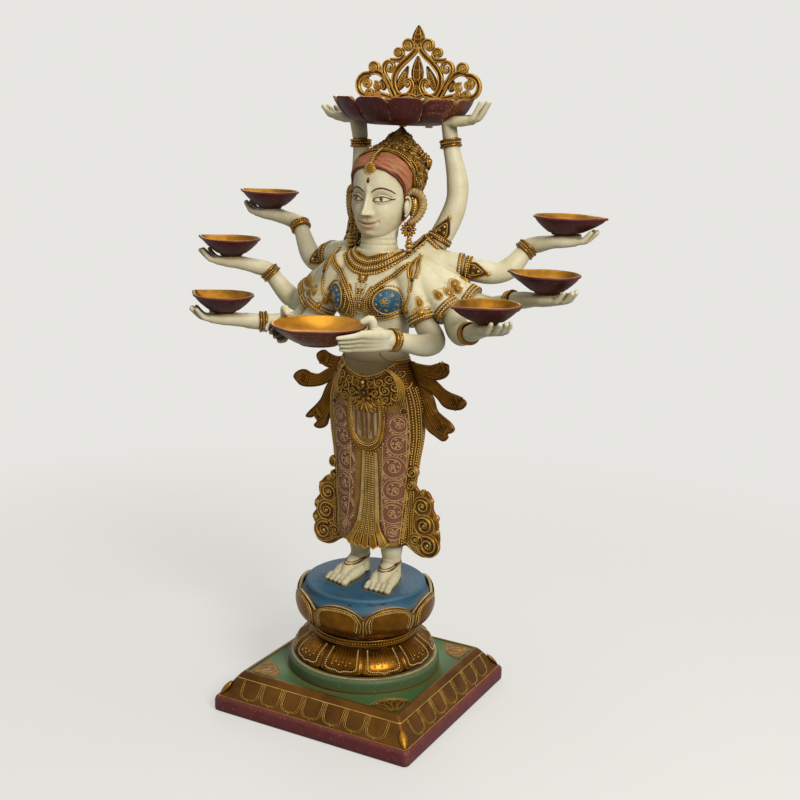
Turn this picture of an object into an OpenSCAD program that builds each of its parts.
// Deepalakshmi lamp: a standing ten-armed lamp figure of painted cast brass with eight oil dishes.
// Millimetres, +Z up. The figure looks along -Y and its left side is +X.

/* [Plinth] */
// Side of the square plinth
base_side = 242; // [220:1:270]
// Height of the bottom step
step_h = 17.5; // [14:0.5:22]
// Height of the plinth up to the sunk top
plinth_h = 41; // [36:0.5:46]
// Height of the raised border above the sunk top
ridge_h = 1.8; // [1:0.2:4]
// Width of the sloping band on the raised border
ridge_w = 8; // [5:0.5:12]
// How far the sloping border runs inwards
slope_in = 16.5; // [12:0.5:22]
// Wall of the hollow plinth casting
plinth_wall = 7; // [5:0.5:9]

/* [Pedestal] */
// Radius of the green foot disc
disc_r = 85; // [80:0.5:90]
// Height of the green foot disc
disc_h = 16; // [13:0.5:20]
// Radius of the inverted lotus at its petal tips
lotus_r = 77.5; // [74:0.5:79]
// Height of the inverted lotus
lotus_h = 25; // [21:0.5:29]
// Radius of the beaded neck
neck_ring_r = 57; // [52:0.5:61]
// Height of the beaded neck
neck_ring_h = 9.5; // [7:0.5:12]
// Largest radius of the lotus cup
cup_r = 78; // [75:0.5:82]
// Height of the lotus cup up to its floor
cup_h = 32.5; // [28:0.5:38]
// Height of the petal tips above the cup floor
petal_rise = 10.5; // [7:0.5:13]
// Petals round the lotus cup
petal_count = 8; // [6:1:12]
// Turn of the lotus cup on the tie bolt
cup_turn = 28; // [0:1:45]
// Radius of the blue platform
platform_r = 67; // [63:0.5:69]
// Height of the blue platform
platform_h = 17; // [14:0.5:21]
// Radius of the tie bolt
bolt_r = 5; // [4:0.25:6]
// Radial room round the tie bolt and the screws
bolt_room = 0.2; // [0.1:0.05:0.4]

/* [Lower body] */
// Height of the waist joint above the platform
waist_z = 251; // [235:1:267]
// Half width of the skirt at the hips
hip_half = 57; // [53:0.5:61]
// Half width of the skirt at the hem
hem_half = 43; // [40:0.5:46]
// Half width of the waist
waist_half = 38; // [35:0.5:41]
// Radius of the ankles
ankle_r = 10.5; // [9:0.25:12]
// Radius of the foot screws
foot_screw_r = 2.5; // [2:0.25:3]
// Thickness of the hem scroll flanges
flange_t = 6; // [4:0.5:8]
// Thickness of the hip sashes
sash_t = 6; // [4:0.5:8]

/* [Arms] */
// Radius of the arms at the sleeve
arm_r = 12.5; // [11:0.25:13.5]
// Radius of the wrists
wrist_r = 9.25; // [8.25:0.25:10]
// Radius of the sleeve ends
sleeve_r = 16.5; // [15:0.25:18]
// Width of the bangles
bangle_w = 9; // [6:0.5:11]
// Height of the bangles above the wrist
bangle_t = 3; // [1.5:0.1:3.5]
// Radius of a finger at its root
finger_r = 3.9; // [3.4:0.1:4.4]
// Radius of the dowels in the joints
dowel_r = 3.5; // [3:0.25:4.5]
// Radial room round the dowels
dowel_room = 0.25; // [0.15:0.05:0.4]

/* [Dishes] */
// Radius of the round part of a side dish
dish_r = 33; // [31:0.5:35]
// Reach of the pinched lip from the turning axis
dish_reach = 47; // [43:0.5:50]
// Height of a side dish
dish_h = 19.5; // [18:0.5:21]
// Radius of the foot of a side dish
dish_foot = 13; // [11:0.5:15]
// Wall of the dishes
dish_wall = 2.4; // [1.8:0.1:3]
// Radius of the pins the side dishes turn on
pin_r = 2.5; // [2:0.25:3]
// Radial running room of the dishes on their pins
pin_room = 0.05; // [0.02:0.01:0.1]
// Gap between a turning dish and the hand below it
rest_gap = 0.4; // [0.3:0.05:0.8]
// Gap between a fixed dish and the hands that hold it
seat_gap = 0.2; // [0.1:0.05:0.4]
// Radius of the front dish
front_r = 48; // [45:0.5:51]
// Reach of the lip of the front dish
front_reach = 55; // [52:0.5:60]
// Height of the front dish
front_h = 21; // [19:0.5:23]
// Radius of the top dish
top_r = 75; // [72:0.5:78]
// Height of the top dish
top_h = 26; // [23:0.5:29]
// Petals round the top dish
top_petals = 12; // [8:1:16]

/* [Arch] */
// Thickness of the arch plate
arch_t = 6; // [4:0.5:8]
// Width of the arch scroll bands
band_w = 5; // [4:0.25:6]
// Distance of the arch behind the centre of the top dish
arch_back = 30; // [26:0.5:34]

/* [Hidden] */
$fn = 48;

foot_z = plinth_h;
lotus_z = foot_z + disc_h;
ring_z = lotus_z + lotus_h;
cup_z = ring_z + neck_ring_h;
floor_z = cup_z + cup_h;
deck_z = floor_z + platform_h;
body_z = deck_z + waist_z;
hem_z = deck_z + 37;
side_y = 14;

// joint points of the left and right arms above the waist joint, in the order front, low, mid, high, raised
shoulders = [[46, 2, 90], [48, 10, 92], [48, 18, 96], [46, 28, 102], [44, 34, 104]];
sleeve_ends = [[[64, -4, 46], [89, 6, 57], [105, 24, 67], [83, 43, 99], [52, 42, 123]],
  [[64, -4, 46], [80, 6, 45], [95, 24, 56], [79, 43, 100], [46, 44, 121]]];
elbows = [[[79, -12, 26], [101, 0, 38], [122, 36, 62], [122, 57, 97], [67, 55, 171]],
  [[79, -12, 26], [98, 0, 28], [119, 36, 44], [109, 57, 89], [50, 56, 171]]];
front_wrist = [front_r + 12, -73, 37];
wrists = [[front_wrist, [127, -26, 44], [153, 22, 74], [143, 77, 124], [54.5, 60, 226]],
  [front_wrist, [129, -26, 28], [150, 22, 79], [144, 77, 128], [54, 60, 222]]];
// foot centres of the side dishes above the waist joint, and the turn of each lip
dish_feet = [[[155, -50, 61], [192, 8, 87], [178, 82, 138]], [[157, -50, 39], [189, 8, 93], [186, 82, 142]]];
lip_turns = [[-115, 175, 10], [5, 0, 5]];

front_at = [0, -108, 31];
top_at = [0, 54, 242.5];
top_foot = 40 * top_r / 75;
top_floor = 41 * top_r / 75;
neck_z = 116;

// rows of the skirt from the hem up: height share, middle, half width, half depth
skirt_rows = [[0, 14, hem_half - 1, 22], [0.05, 14, hem_half, 22.5], [0.17, 15, hem_half + 2, 22],
  [0.31, 16, hem_half + 6, 23], [0.47, 17, hip_half - 4, 24], [0.63, 17, hip_half + 1, 26],
  [0.79, 15, hip_half - 1, 29], [0.92, 12, waist_half + 8, 30], [1, 10, waist_half, 27]];
torso_rows = [[0, 10, waist_half, 27], [13, 9, waist_half - 1, 26], [32, 6, 38.5, 27], [52, 4, 42, 29],
  [70, 4, 45, 30], [86, 6, 48, 29], [100, 9, 47, 26], [109, 10, 35, 22], [neck_z, 9, 23, 20]];

function unit(v) = v / norm(v);
function mix(a, b, t) = a + (b - a) * t;
function bend(a, b, c, d, t) = a * pow(1 - t, 3) + 3 * b * t * pow(1 - t, 2) + 3 * c * t * t * (1 - t)
  + d * pow(t, 3);
function knot(rows, i) = rows[max(0, min(len(rows) - 1, i))];
// smooth value between rows i and i + 1
function smooth(rows, i, t) = bend(knot(rows, i), knot(rows, i) + (knot(rows, i + 1) - knot(rows, i - 1)) / 6,
  knot(rows, i + 1) - (knot(rows, i + 2) - knot(rows, i)) / 6, knot(rows, i + 1), t);
function swell(a, middle, width) = exp(-pow((a - middle) / width, 2));
function around(c, u, v, n) = [for (i = [0:n - 1]) c + u * cos(360 * i / n) + v * sin(360 * i / n)];

// closed skin over a list of rings with the same number of points
module skin(rings) {
  n = len(rings[0]);
  m = len(rings);
  points = [for (r = rings) each r];
  sides = [for (j = [0:m - 2], i = [0:n - 1], k = [0, 1])
    k == 0 ? [j * n + i, (j + 1) * n + i, (j + 1) * n + (i + 1) % n]
      : [j * n + i, (j + 1) * n + (i + 1) % n, j * n + (i + 1) % n]];
  low = [for (i = [0:n - 1]) i];
  high = [for (i = [n - 1:-1:0]) (m - 1) * n + i];
  polyhedron(points = points, faces = concat([low], sides, [high]));
}

// moves the children to p with their Z along d
module aim(p, d) {
  u = unit(d);
  translate(p)
    rotate([0, acos(u.z), atan2(u.y, u.x)])
      children();
}

module ball(p, r, n = 8) {
  translate(p)
    sphere(r, $fn = n);
}

module link(a, ra, b, rb, n = 8) {
  hull() {
    ball(a, ra, n);
    ball(b, rb, n);
  }
}

function square_ring(h, z) = [[h, h, z], [-h, h, z], [-h, -h, z], [h, -h, z]];

module base_plinth() {
  half = base_side / 2;
  band_half = half - 1.5 - slope_in;
  top_half = band_half - ridge_w;
  top_z = plinth_h + ridge_h;
  color("saddlebrown")
    difference() {
      skin([square_ring(half, 0), square_ring(half, step_h - 4), square_ring(half - 2.5, step_h),
        square_ring(half - 3.5, step_h), square_ring(band_half, plinth_h - 4.5), square_ring(top_half, top_z),
        square_ring(top_half - 1, top_z), square_ring(top_half - 2, plinth_h)]);
      skin([square_ring(half - plinth_wall - 1, -1),
        square_ring(top_half - plinth_wall, plinth_h - plinth_wall)]);
      cylinder(h = plinth_h + 1, r = bolt_r + bolt_room);
    }
}

module pedestal_foot() {
  color("darkgoldenrod")
    difference() {
      rotate_extrude($fn = 96)
        polygon([[0, foot_z], [disc_r - 1.5, foot_z], [disc_r, foot_z + 2], [disc_r, lotus_z - 4],
          [disc_r - 4, lotus_z], [lotus_r - 2, lotus_z], [lotus_r, lotus_z + 3], [lotus_r - 1, lotus_z + 8],
          [lotus_r - 5, lotus_z + 13], [lotus_r - 11, lotus_z + 19], [neck_ring_r - 1, ring_z],
          [neck_ring_r + 1, ring_z + 2], [neck_ring_r + 1, cup_z - 2], [neck_ring_r - 1, cup_z], [0, cup_z]]);
      cylinder(h = deck_z, r = bolt_r + bolt_room);
    }
}

module lotus_cup() {
  notch = 2 * cup_r * tan(180 / petal_count);
  color("peru")
    difference() {
      rotate_extrude($fn = 96)
        polygon([[0, cup_z], [neck_ring_r, cup_z], [neck_ring_r + 10, cup_z + 6], [cup_r - 4, cup_z + 15],
          [cup_r, cup_z + cup_h - 6], [cup_r, floor_z + 2], [cup_r - 2, floor_z + petal_rise],
          [cup_r - 5, floor_z + petal_rise], [platform_r + 2.5, floor_z], [0, floor_z]]);
      for (k = [0:petal_count - 1])
        rotate([90, 0, cup_turn + 360 * k / petal_count])
          translate([0, floor_z - 3, platform_r - 10])
            linear_extrude(height = 40)
              polygon([[0, 0], [notch * 0.12, 4], [notch * 0.3, 9.5], [notch * 0.5, petal_rise + 3],
                [notch * 0.5, 40], [-notch * 0.5, 40], [-notch * 0.5, petal_rise + 3], [-notch * 0.3, 9.5],
                [-notch * 0.12, 4]]);
      cylinder(h = deck_z, r = bolt_r + bolt_room);
    }
}

module platform() {
  color("steelblue")
    difference() {
      rotate_extrude($fn = 96)
        polygon([[0, floor_z], [platform_r, floor_z], [platform_r, deck_z - 2], [platform_r - 2, deck_z],
          [0, deck_z]]);
      translate([0, 0, floor_z - 1])
        cylinder(h = platform_h - 3, r = bolt_r + bolt_room);
      at_feet() {
        translate([0, 0, floor_z - 1])
          cylinder(h = platform_h + 2, r = foot_screw_r + bolt_room);
        translate([0, 0, floor_z - 1])
          cylinder(h = 5.5, r = 2 * foot_screw_r + bolt_room);
      }
    }
}

module tie_bolt() {
  low = plinth_h - plinth_wall - 11;
  color("goldenrod")
    translate([0, 0, low])
      cylinder(h = floor_z + platform_h - 5 - low, r = bolt_r);
}

module tie_nut() {
  color("darkgoldenrod")
    translate([0, 0, plinth_h - plinth_wall - 8])
      difference() {
        union() {
          cylinder(h = 6, r = 2 * bolt_r, $fn = 6);
          translate([0, 0, 6])
            cylinder(h = 2, r = 3 * bolt_r);
        }
        translate([0, 0, -1])
          cylinder(h = 10, r = bolt_r + bolt_room / 2);
      }
}

module at_feet() {
  translate([-18, 6, 0])
    children();
  translate([22, 6, 0])
    children();
}

module foot_screws() {
  color("goldenrod")
    at_feet() {
      translate([0, 0, floor_z + 0.5])
        cylinder(h = 4, r = 2 * foot_screw_r);
      translate([0, 0, floor_z + 0.5])
        cylinder(h = platform_h + 9, r = foot_screw_r);
    }
}

// ring of the skirt: flat sides of the ellipse, a pleat bulge in front and a hollow between the legs
function skirt_ring(row) = [for (i = [0:27]) let(a = 360 * i / 28, front = swell(abs(a - 270), 0, 16),
  low = 1 - row[0]) [row[2] * cos(a), row[1] + (row[3] + 3 * front * low) * sin(a),
  mix(hem_z, body_z, row[0])]];

module leg(x, turn) {
  rings = [for (r = [[0, 15, ankle_r + 3, 14], [10, 17, ankle_r + 0.5, 12], [22, 18, ankle_r, 11],
    [38, 17, ankle_r + 3, 13], [60, 16, ankle_r + 4, 13]])
    around([x, r[1], deck_z + r[0] + 2], [r[2], 0, 0], [0, r[3], 0], 14)];
  skin(rings);
  translate([x, 14, deck_z])
    rotate(turn)
      foot();
}

// foot with its toes along -Y, sole on Z = 0
module foot() {
  difference() {
    union() {
      hull() {
        ball([0, 9, 8], 11);
        ball([0, -8, 12], 11);
        ball([-6, -38, 4], 7);
        ball([7, -36, 4], 7);
      }
      for (k = [0:4])
        link([8 - 4.6 * k, -38 - k + (k > 1 ? 0.5 * k * k : 0), 4], 4,
          [8 - 4.9 * k, -56 + 2.6 * k, 2.6], k == 0 ? 4 : 3.2, 6);
    }
    translate([-40, -80, -20])
      cube([80, 120, 20]);
  }
}

module lower_body() {
  color("tan")
    difference() {
      union() {
        skin([for (k = [0:len(skirt_rows) - 2], t = [0, 0.5]) skirt_ring(smooth(skirt_rows, k, t)),
          skirt_ring(skirt_rows[len(skirt_rows) - 1])]);
        leg(-18, 0);
        mirror([1, 0, 0])
          leg(-22, 14);
      }
      at_feet()
        translate([0, 0, deck_z - 1])
          cylinder(h = 11, r = foot_screw_r + 0.4, $fn = 12);
      translate([0, 10, body_z - 12])
        cylinder(h = 13, r = 2 * dowel_r + 2 * dowel_room, $fn = 16);
    }
}

// every child is drawn in X and height and becomes a plate that faces along Y
module plate(t) {
  translate([0, t / 2, 0])
    rotate([90, 0, 0])
      for (i = [0:$children - 1])
        linear_extrude(height = t)
          children(i);
}

module dot(p, r) {
  translate(p)
    circle(r, $fn = 20);
}

// side edge of the skirt in X and height, from row a up to row b
function skirt_edge(a, b) = [for (k = [a:b], t = k < b ? [0, 0.5] : [0]) let(r = smooth(skirt_rows, k, t))
  [r[2] + 0.05, mix(hem_z, body_z, r[0])]];

// flange at the side of the hem with rounded knobs along its outer edge
module hem_scroll(knobs, drop) {
  h = hem_half;
  color("darkgoldenrod")
    translate([0, side_y, hem_z])
      difference() {
        plate(flange_t) {
          polygon([[h - 9, 4], [h + 2, 0], [h + 13, -7 - drop], [h + 24, -8 - drop], [h + 32, -drop],
            [h + 34, 12], [h + 31, 30], [h + 29, 46], [h + 26, 58], [h + 18, 69], [h + 8, 71], [h - 9, 71]]);
          dot([h + knobs[0][0], knobs[0][1]], 5);
          dot([h + knobs[1][0], knobs[1][1]], 5);
          dot([h + knobs[2][0], knobs[2][1]], 5);
          dot([h + knobs[3][0], knobs[3][1]], 5);
        }
        plate(flange_t + 2)
          polygon(concat([[0, -40], [h - 12, -40], [h - 12, -0.05]],
            [for (p = skirt_edge(0, 5)) p - [0, hem_z]], [[0, waist_z]]));
      }
}

module left_hem_scroll() {
  hem_scroll([[34, 10], [32, 28], [29, 45], [21, 66]], 0);
}

module right_hem_scroll() {
  mirror([1, 0, 0])
    hem_scroll([[31, 2], [31, 16], [29, 32], [23, 58]], 4);
}

function ribbon(a, b, c, d, w0, w1, n = 8) = let(p = [for (i = [0:n]) bend(a, b, c, d, i / n)],
  q = [for (i = [0:n]) unit(bend(a, b, c, d, min(1, i / n + 0.02)) - bend(a, b, c, d, max(0, i / n - 0.02)))])
  concat([for (i = [0:n]) p[i] + [-q[i].y, q[i].x] * mix(w0, w1, i / n) / 2],
  [for (i = [n:-1:0]) p[i] - [-q[i].y, q[i].x] * mix(w0, w1, i / n) / 2]);

// three cloth ends that leave the hip: a loop, a streamer and a forked streamer
module hip_sash(loop_end, streamer_end, fork_end, bow) {
  h = hip_half - 57;
  color("sienna")
    translate([0, side_y, body_z])
      difference() {
        plate(sash_t) {
          polygon(ribbon([30 + h, -10], [52 + h, -10], [62 + h, -12 - bow], loop_end, 16, 13));
          dot(loop_end, 7);
          polygon(ribbon([30 + h, -18], [58 + h, -18], [72 + h, -38 - bow / 2], streamer_end, 14, 13));
          dot(streamer_end, 6);
          polygon(ribbon([45 + h, -20], [60 + h, -40], [60 + h, -60], fork_end, 12, 15));
          dot(fork_end + [6, 3], 5);
          dot(fork_end + [-3, -5], 5);
        }
        plate(sash_t + 2) {
          polygon(concat([[0, -200]], [for (p = skirt_edge(3, len(skirt_rows) - 1)) p - [0, body_z]],
            [[waist_half + 0.05, 5], [0, 5]]));
          translate([0, -0.3])
            square([waist_half + 14, 40]);
        }
      }
}

module left_hip_sash() {
  hip_sash([77, -8], [100, -40], [82, -74], 2);
}

module right_hip_sash() {
  mirror([1, 0, 0])
    hip_sash([70, -10], [101, -36], [77, -83], 10);
}

// ring of the torso with two bust swellings in front
function torso_ring(row) = [for (i = [0:27]) let(a = 360 * i / 28,
  bust = 15 * swell(row[0], 66, 16) * (swell(a, 270 - 36, 26) + swell(a, 270 + 36, 26)),
  back = 3 * swell(row[0], 86, 20) * swell(a, 90, 40))
  [(row[2] + 0.5 * bust) * cos(a), row[1] + (row[3] + bust - back) * sin(a), body_z + row[0]]];

module shoulder(s, k, grow = 0) {
  p = sleeve_ends[s][k];
  r = k < 3 ? sleeve_r : arm_r + 2;
  hull() {
    ball(shoulders[k] - [6, 0, 0], 19 + grow, 10);
    aim(p, p - shoulders[k])
      translate([0, 0, -7])
        cylinder(h = 7 + grow, r = r + grow, $fn = 14);
  }
}

// the children stand in every sleeve joint with their Z along the arm
module at_sleeves() {
  for (s = [0, 1], k = [0:4])
    mirror([s, 0, 0])
      aim(sleeve_ends[s][k], sleeve_ends[s][k] - shoulders[k])
        children();
}

module torso() {
  color("wheat")
    translate([0, 0, body_z])
      difference() {
        union() {
          translate([0, 0, -body_z])
            skin([for (k = [0:len(torso_rows) - 2], t = [0, 0.5]) torso_ring(smooth(torso_rows, k, t)),
              torso_ring(torso_rows[len(torso_rows) - 1])]);
          for (s = [0, 1], k = [0:4])
            mirror([s, 0, 0])
              shoulder(s, k);
        }
        at_sleeves()
          translate([0, 0, -9])
            cylinder(h = 18, r = dowel_r + dowel_room, $fn = 10);
        translate([0, 10, -1])
          cylinder(h = 13, r = 2 * dowel_r + 2 * dowel_room, $fn = 16);
        translate([0, 9, neck_z - 12])
          cylinder(h = 13, r = 2 * dowel_r + 2 * dowel_room, $fn = 16);
      }
}

head_rows = [[127, 2, 8, 7], [132, 3, 16, 15], [142, 6, 22.5, 22.5], [156, 13, 27, 31], [171, 21, 30, 39],
  [186, 27, 32.5, 44.5], [199, 29, 32, 43], [209, 31, 27, 35], [216, 33, 18, 23], [220, 34, 7, 8]];
crown_seat = [0, 42, 206];
crown_lean = 40;

module ear(s) {
  hull() {
    ball([s * 28, 20, 172], 4, 6);
    ball([s * 37, 30, 168], 4, 6);
    ball([s * 38, 31, 155], 4, 6);
    ball([s * 31, 18, 146], 4, 6);
  }
  hull() {
    aim([s * 27, 14, 138], [s, -0.6, 0])
      cylinder(h = 6, r = 8, $fn = 16);
  }
  hull() {
    ball([s * 29, 13, 130], 3.5);
    ball([s * 28, 12, 121], 4.5);
  }
}

module head() {
  color("ivory")
    translate([0, 0, body_z])
      difference() {
        union() {
          skin([for (r = [[neck_z, 9, 21, 19.5], [124, 9, 19.5, 18.5], [132, 10, 19.5, 19],
            [142, 12, 20, 19]])
            around([0, r[1], r[0]], [r[2], 0, 0], [0, r[3], 0], 22)]);
          skin([for (k = [0:len(head_rows) - 2], t = [0, 0.5]) let(r = smooth(head_rows, k, t))
            around([0, r[1], r[0]], [r[2], 0, 0], [0, r[3], 0], 22)]);
          hull() {
            ball([0, -14, 184], 2.5);
            ball([0, -22, 163], 3.2);
            ball([4, -17, 161], 3);
            ball([-4, -17, 161], 3);
          }
          hull() {
            ball([6, -13, 148], 2);
            ball([-6, -13, 148], 2);
            ball([0, -16, 149], 2.5);
          }
          hull() {
            ball([0, -13, 204], 4);
            ball([0, -15, 199], 4);
          }
          for (s = [-1, 1])
            ear(s);
        }
        translate(crown_seat)
          rotate([-crown_lean, 0, 0])
            translate([-60, -70, 0])
              cube([120, 140, 80]);
        translate([0, 9, neck_z - 1])
          cylinder(h = 13, r = 2 * dowel_r + 2 * dowel_room, $fn = 16);
      }
}

module crown() {
  seat = crown_seat + [0, 0, body_z];
  tip = [0, top_at.y - 1, body_z + top_at.z - 0.6];
  lean = [0, sin(crown_lean), cos(crown_lean)];
  side = [0, cos(crown_lean), -sin(crown_lean)];
  color("goldenrod")
    skin([for (r = [[0, 31, 23, 4], [4, 35, 25, 5], [8, 36, 25, 5], [11, 30, 21, 4], [16, 24, 17, 1],
      [22, 17, 13, -4], [27, 11, 9, -8]])
      around(seat + lean * r[0] + side * r[3], [r[1], 0, 0], side * r[2], 24),
      around(tip - [0, 0.5, 3], [5, 0, 0], [0, 5, 0], 24), around(tip, [2.5, 0, 0], [0, 2.5, 0], 24)]);
}

module dowels() {
  color("goldenrod")
    translate([0, 0, body_z]) {
      at_sleeves()
        translate([0, 0, -8.5])
          cylinder(h = 17, r = dowel_r);
      translate([0, 10, -11.5])
        cylinder(h = 23, r = 2 * dowel_r);
      translate([0, 9, neck_z - 11.5])
        cylinder(h = 23, r = 2 * dowel_r);
    }
}

// rings of an arm from its sleeve end over the elbow to the wrist
function arm_rings(s, k, way, grow) = let(a = sleeve_ends[s][k], c = elbows[s][k], e = wrists[s][k],
  d = unit(a - shoulders[k]), f = unit(e - a), l0 = norm(c - a) / 3, l1 = norm(e - c) / 3, g = unit(e - c),
  path = concat([for (t = [0:0.25:0.75]) bend(a, a + d * l0, c - f * l0, c, t)],
  [for (t = [0:0.25:1]) bend(c, c + f * l1, e - g * l1, e, t)]),
  thick = [for (i = [0:8]) grow + mix(arm_r, wrist_r, i < 3 ? 0.05 * i : (i - 1.5) / 6.5)])
  [for (i = [0:8]) let(q = i == 0 ? d : i == 8 ? g : unit(path[i + 1] - path[i - 1]), u = unit(cross(way, q)),
  v = cross(q, u)) around(path[i], u * thick[i], v * thick[i], 10)];

module limb(s, k, grow = 0) {
  way = k == 0 ? [1, 0, 0] : k == 4 ? [0, 1, 0] : [0, 0, 1];
  end = wrists[s][k];
  skin(arm_rings(s, k, way, grow));
  aim(end, end - elbows[s][k])
    translate([0, 0, -bangle_w - 1])
      cylinder(h = bangle_w, r = wrist_r + bangle_t, $fn = 14);
}

// sleeves beside an arm and the arm in front of it, with the gap between neighbours
module arm_neighbours(s, k) {
  for (j = [0:4])
    if (abs(j - k) == 1)
      shoulder(s, j, seat_gap);
  if (k > 0)
    limb(s, k - 1, seat_gap);
}

module arm_socket(s, k) {
  aim(sleeve_ends[s][k], sleeve_ends[s][k] - shoulders[k])
    translate([0, 0, -1])
      cylinder(h = 10, r = dowel_r + dowel_room, $fn = 10);
}

// open hand from wrist w, palm up under the point p, fingers along d with tips raised, thumb at the back
module open_hand(w, p, d, raised) {
  s = [-d.y, d.x, 0];
  up = [0, 0, 1];
  hull() {
    ball(w, wrist_r - 0.4);
    for (q = [-1, 1]) {
      ball(p - 8 * d + 6 * q * s - 7 * up, 6.8, 6);
      ball(p + 14 * d + 9 * q * s - 5.6 * up, 4.6, 6);
    }
  }
  for (j = [0:3]) {
    off = (j - 1.5) * 6.6;
    long = [30, 35, 34, 29][j];
    middle = p + mix(14, long, 0.52) * d + 1.08 * off * s + (0.25 * raised - 5) * up;
    link(p + 14 * d + off * s - 5.6 * up, finger_r, middle, finger_r - 0.4, 5);
    link(middle, finger_r - 0.4, p + long * d + 1.05 * off * s + raised * up, finger_r - 1.2, 5);
  }
  thumb = p + d + 17 * s - 4 * up;
  link(p - 10 * d + 9 * s - 7 * up, finger_r + 1.2, thumb, finger_r + 0.4, 6);
  link(thumb, finger_r + 0.4, p + 12 * d + 19 * s - 1.5 * up, finger_r - 0.8, 6);
}

// room a side dish sweeps when it turns, with the gap round it
module dish_sweep() {
  out = 1 / cos(180 / 24);
  rotate_extrude($fn = 24)
    polygon([[0, -rest_gap], [(dish_foot + rest_gap) * out, -rest_gap],
      [(dish_reach + 1.5 * rest_gap) * out, dish_h - 2 - rest_gap],
      [(dish_reach + 1.5 * rest_gap) * out, dish_h + 30], [0, dish_h + 30]]);
}

// arm with an open hand under a turning dish
module side_arm(s, k) {
  p = dish_feet[s][k - 1] - [0, 0, rest_gap];
  w = wrists[s][k];
  color("ivory")
    translate([0, 0, body_z])
      difference() {
        union() {
          limb(s, k);
          open_hand(w, p, unit([p.x - w.x, p.y - w.y, 0]), 5);
          translate(p - [0, 0, 8])
            cylinder(h = 8, r = dish_foot - 3, $fn = 14);
        }
        translate(dish_feet[s][k - 1])
          dish_sweep();
        translate(p - [0, 0, 6])
          cylinder(h = 10, r = pin_r + 0.3, $fn = 10);
        arm_neighbours(s, k);
        arm_socket(s, k);
      }
}

// arm that grips the front dish: fingers along the wall, thumb over the rim
module front_arm(s) {
  w = front_wrist;
  c = front_at;
  thumb = c + [front_r + 3, 18, front_h - 4];
  color("ivory")
    translate([0, 0, body_z])
      difference() {
        union() {
          limb(s, 0);
          for (j = [0:3]) {
            z = 16 - 5 * j;
            r = front_r - 1 - 4 * j;
            a = c + [r * cos(-8) + 4, r * sin(-8), z];
            b = c + [r * cos(-32) + 3, r * sin(-32), z - 1];
            e = c + [r * cos(-56 + 3 * j) + 2, r * sin(-56 + 3 * j), z - 1];
            link(w + [0, 0, 4 - 3 * j], 5.5, a, finger_r + 1.2, 6);
            link(a, finger_r + 1, b, finger_r, 6);
            link(b, finger_r, e, finger_r - 1, 6);
          }
          link(w + [-4, 0, 2], 7, thumb, 5.5, 6);
          link(thumb, 5, thumb + [-5, -8, 8], 4, 6);
          link(thumb + [-5, -8, 8], 4, thumb + [-15, -12, 8], 3.2, 6);
        }
        translate(c)
          dish_form(front_r, front_reach, front_h, 20, -90, seat_gap);
        translate(c)
          dish_hollow(front_r, front_reach, front_h, 20, -90, 0, 5);
        arm_neighbours(s, 0);
        arm_socket(s, 0);
      }
}

// raised arm whose palm carries the rim of the top dish
module raised_arm(s) {
  p = [top_r - 12, top_at.y, top_at.z + 13];
  color("ivory")
    translate([0, 0, body_z])
      difference() {
        union() {
          limb(s, 4);
          open_hand(wrists[s][4], p, unit([1, 0.06, 0]), s == 0 ? 13 : 4);
        }
        translate(top_at)
          rotate_extrude($fn = 60)
            polygon([[0, -seat_gap], [top_foot, -seat_gap],
              [top_r * 0.733 + seat_gap, top_h * 0.19 - seat_gap],
              [top_r * 0.893 + seat_gap, top_h * 0.54 - seat_gap], [top_r + 2 * seat_gap, top_h - seat_gap],
              [top_r + 2 * seat_gap, top_h + 20], [0, top_h + 20]]);
        arm_neighbours(s, 4);
        arm_socket(s, 4);
      }
}

module left_front_arm() {
  front_arm(0);
}

module left_low_arm() {
  side_arm(0, 1);
}

module left_mid_arm() {
  side_arm(0, 2);
}

module left_high_arm() {
  side_arm(0, 3);
}

module left_raised_arm() {
  raised_arm(0);
}

module right_front_arm() {
  mirror([1, 0, 0])
    front_arm(1);
}

module right_low_arm() {
  mirror([1, 0, 0])
    side_arm(1, 1);
}

module right_mid_arm() {
  mirror([1, 0, 0])
    side_arm(1, 2);
}

module right_high_arm() {
  mirror([1, 0, 0])
    side_arm(1, 3);
}

module right_raised_arm() {
  mirror([1, 0, 0])
    raised_arm(1);
}

// outside of a leaf-shaped dish standing on Z = 0, its lip turned to the given angle
module dish_form(r, reach, h, foot, turn, grow = 0) {
  rotate(turn)
    hull() {
      translate([0, 0, -grow])
        cylinder(h = 1, r = foot + grow, $fn = 24);
      translate([0, 0, h / 2])
        cylinder(h = 1, r = mix(foot, r, 0.6) + grow, $fn = 24);
      translate([0, 0, h - 2])
        cylinder(h = 2 + grow, r = r + grow, $fn = 30);
      translate([reach - 2, 0, h - 2])
        cylinder(h = 2 + grow, r = 2 + grow, $fn = 12);
    }
}

module dish_hollow(r, reach, h, foot, turn, wall, up = 0.5) {
  rotate(turn)
    hull() {
      translate([0, 0, wall + 4.1])
        cylinder(h = 1, r = foot - wall - 1.5, $fn = 24);
      translate([0, 0, h / 2 + wall])
        cylinder(h = 1, r = mix(foot, r, 0.6) - wall, $fn = 24);
      translate([0, 0, h])
        cylinder(h = up, r = r - 0.8 * wall, $fn = 30);
      translate([reach - 2 - 1.4 * wall, 0, h])
        cylinder(h = up, r = 1, $fn = 12);
    }
}

module side_dish(s, k) {
  color("maroon")
    mirror([s, 0, 0])
      translate(dish_feet[s][k] + [0, 0, body_z])
        difference() {
          dish_form(dish_r, dish_reach, dish_h, dish_foot, lip_turns[s][k]);
          dish_hollow(dish_r, dish_reach, dish_h, dish_foot, lip_turns[s][k], dish_wall);
          translate([0, 0, -1])
            cylinder(h = 5.5, r = pin_r + pin_room);
        }
}

module left_low_dish() {
  side_dish(0, 0);
}

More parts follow.
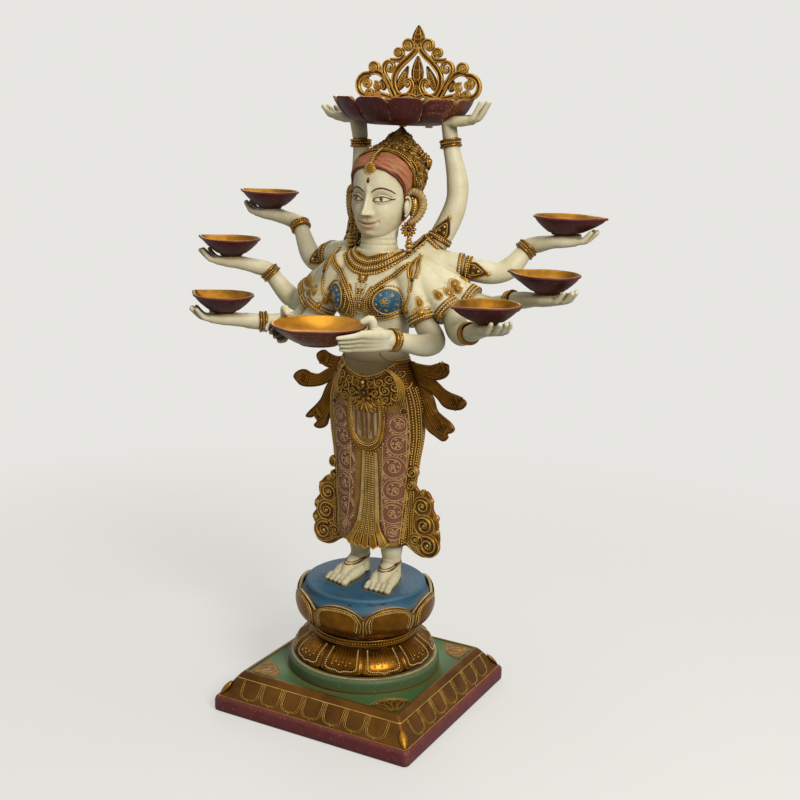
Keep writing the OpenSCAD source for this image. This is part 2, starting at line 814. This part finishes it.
module left_mid_dish() {
  side_dish(0, 1);
}

module left_high_dish() {
  side_dish(0, 2);
}

module right_low_dish() {
  side_dish(1, 0);
}

module right_mid_dish() {
  side_dish(1, 1);
}

module right_high_dish() {
  side_dish(1, 2);
}

module dish_pins() {
  color("goldenrod")
    for (s = [0, 1], k = [0:2])
      mirror([s, 0, 0])
        translate(dish_feet[s][k] + [0, 0, body_z - rest_gap - 6])
          cylinder(h = 10, r = pin_r);
}

module front_dish() {
  color("maroon")
    translate([0, 0, body_z])
      translate(front_at)
        difference() {
          dish_form(front_r, front_reach, front_h, 20, -90);
          dish_hollow(front_r, front_reach, front_h, 20, -90, dish_wall);
        }
}

module top_dish() {
  w = 3;
  color("maroon")
    translate([0, 0, body_z])
      translate(top_at)
        difference() {
          rotate_extrude($fn = 96)
            polygon([[0, 0], [top_foot, 0], [top_r * 0.733, top_h * 0.19], [top_r * 0.893, top_h * 0.54],
              [top_r, top_h], [top_r - w, top_h], [top_r * 0.893 - w, top_h * 0.54 + w * 0.7],
              [top_r * 0.733 - w * 0.7, top_h * 0.19 + w], [top_floor, 3.5], [0, 3.5]]);
          for (k = [0:top_petals - 1])
            rotate(360 * (k + 0.5) / top_petals)
              translate([top_r + 1, 0, top_h * 0.6])
                rotate(45)
                  cylinder(h = top_h, r = 5, $fn = 4);
          for (s = [-1, 1])
            translate([16 * s, arch_back, -1])
              cylinder(h = 6, r = 2 + bolt_room);
        }
}

module loop(p, r, w) {
  translate(p)
    difference() {
      circle(r, $fn = 32);
      circle(r - w, $fn = 32);
    }
}

// left half of the arch drawn in X and height above the dish rim
module arch_half() {
  w = band_w;
  plate(arch_t) {
    polygon(ribbon([0, 52], [4, 34], [30, 30], [24, -2], w + 2, w));
    polygon(ribbon([1, 60], [8, 36], [30, 34], [36, 20], w + 1, w));
    loop([13, 56], 9, w - 0.5);
    loop([26.5, 48.5], 6.5, w - 1);
    polygon(ribbon([17, 50], [20, 44], [24, 41], [30, 43], w, w));
    loop([36, 33], 9.5, w - 0.5);
    polygon(ribbon([24, -2], [34, 18], [44, 34], [58, 28], w, w));
    loop([62, 14], 15.5, w);
    polygon(ribbon([46, 29], [52, 32], [54, 38], [61, 36], w + 1, w + 3));
    polygon(ribbon([23, 0], [36, 1], [44, 9], [53, 3], w, w));
    polygon(ribbon([49, 2], [58, 5], [66, 5], [64, 16], w, w));
    loop([8.5, 15], 9, w - 1);
    polygon(ribbon([-1, 1], [8, 8], [16, 8], [25, 0], w, w));
    translate([11, 3.5 - top_h])
      square([10, top_h]);
  }
}

module arch() {
  color("gold")
    translate([0, top_at.y + arch_back, body_z + top_at.z + top_h])
      difference() {
        union() {
          arch_half();
          mirror([1, 0, 0])
            arch_half();
          plate(arch_t) {
            polygon([[0, 78], [-6, 68], [-6.5, 62], [-3, 54], [3, 54], [6.5, 62], [6, 68]]);
            polygon([[0, 46], [-5, 30], [-4, 24], [0, 19], [4, 24], [5, 30]]);
          }
        }
        for (s = [-1, 1])
          translate([64 * s, 0, -9.7])
            cube([60, arch_t + 2, 20], center = true);
        for (s = [-1, 1])
          translate([16 * s, 0, 3 - top_h])
            cylinder(h = 10, r = 2 + bolt_room);
      }
}

module arch_screws() {
  color("darkgoldenrod")
    translate([0, top_at.y + arch_back, body_z + top_at.z])
      for (s = [-1, 1])
        translate([16 * s, 0, 0]) {
          translate([0, 0, -2.5])
            cylinder(h = 2.5, r = 4);
          translate([0, 0, -1])
            cylinder(h = 12, r = 2);
        }
}

base_plinth();
pedestal_foot();
lotus_cup();
platform();
tie_bolt();
tie_nut();
foot_screws();
lower_body();
left_hem_scroll();
right_hem_scroll();
left_hip_sash();
right_hip_sash();
torso();
head();
crown();
dowels();
left_front_arm();
left_low_arm();
left_mid_arm();
left_high_arm();
left_raised_arm();
right_front_arm();
right_low_arm();
right_mid_arm();
right_high_arm();
right_raised_arm();
front_dish();
top_dish();
left_low_dish();
left_mid_dish();
left_high_dish();
right_low_dish();
right_mid_dish();
right_high_dish();
dish_pins();
arch();
arch_screws();
